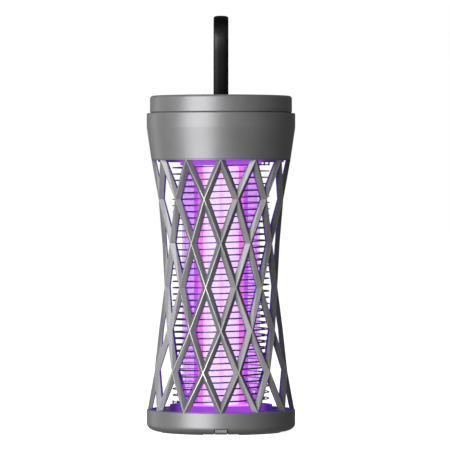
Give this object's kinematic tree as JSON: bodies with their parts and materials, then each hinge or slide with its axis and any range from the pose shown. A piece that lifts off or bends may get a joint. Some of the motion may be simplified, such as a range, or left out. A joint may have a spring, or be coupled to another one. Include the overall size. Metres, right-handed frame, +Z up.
{
  "type": "electric bug zapper",
  "caption": "Lantern-shaped electric bug zapper with a waisted lattice cage round a wound wire grid and lit lamp, a folding loop handle, a push button and a catch-tray door.",
  "frame": {"origin": "centre of the foot plane", "axes": "+Z up towards the handle, -Y is the front with the tray door's finger tab, +X to the viewer's right"},
  "size_m": [0.1, 0.1, 0.28],
  "materials": {
    "shell_plastic": "fine satin",
    "handle_plastic": "satin",
    "black_plastic": "matt",
    "rubber": "matt",
    "steel": "drawn",
    "light_pipe": "clear",
    "circuit_board": "solder mask",
    "cell_sleeve": "shrink sleeve",
    "potting": "cast resin",
    "red_lead": "insulated wire",
    "black_lead": "insulated wire",
    "violet_lead": "insulated wire",
    "clear_violet": "clear, tinted",
    "frosted_tube": "frosted",
    "white_board": "white solder mask",
    "emitter": "lit",
    "violet_plastic": "satin",
    "clear_plastic": "clear"
  },
  "bodies": {
    "lantern": {"top_cap": "shell_plastic", "cap_gasket": "rubber", "head_housing": "shell_plastic", "head_floor": "shell_plastic", "cap_screws": "steel", "floor_screws": "steel", "handle_pins": "steel", "switch_body": "steel", "indicator_light": "light_pipe", "main_board": "circuit_board", "board_components": "black_plastic", "board_screws": "steel", "battery_cell": "cell_sleeve", "battery_cradle": "black_plastic", "high_voltage_module": "potting", "charge_board": "circuit_board", "usb_socket": "steel", "battery_leads": "red_lead", "charge_leads": "black_lead", "lamp_leads": "red_lead", "grid_leads": "violet_lead", "lamp_tube": "clear_violet", "diffuser_tube": "frosted_tube", "led_board": "white_board", "uv_leds": "emitter", "lamp_collar": "violet_plastic", "lamp_foot": "violet_plastic", "outer_grid_wire": "steel", "inner_grid_wire": "steel", "grid_ribs": "clear_plastic", "grid_top_ring": "violet_plastic", "grid_bottom_ring": "violet_plastic", "grid_screws": "steel", "cage": "shell_plastic", "base_shell": "shell_plastic", "base_screws": "steel", "door_hinge_pin": "steel", "foot_pads": "rubber"},
    "handle": {"handle": "handle_plastic"},
    "button": {"power_button": "shell_plastic", "switch_plunger": "black_plastic"},
    "port_cover": {"port_cover": "shell_plastic"},
    "tray_door": {"tray_door": "shell_plastic"}
  },
  "joints": [
    {"name": "handle_fold", "type": "hinge", "parent": "lantern", "child": "handle", "pos_m": [0, 0, 0.2218], "axis": [0, 1, 0], "range_deg": [-70, 70]},
    {"name": "button_press", "type": "slide", "parent": "lantern", "child": "button", "axis": [0, 0, -1], "range_m": [0, 0.001], "stiffness_N_per_m": 1200},
    {"name": "port_cover_open", "type": "hinge", "parent": "lantern", "child": "port_cover", "pos_m": [0, 0.0471, 0.1934], "axis": [-1, 0, 0], "range_deg": [0, 100]},
    {"name": "tray_door_open", "type": "hinge", "parent": "lantern", "child": "tray_door", "pos_m": [0, 0.041, 0.0016], "axis": [1, 0, 0], "range_deg": [0, 90]}
  ]
}
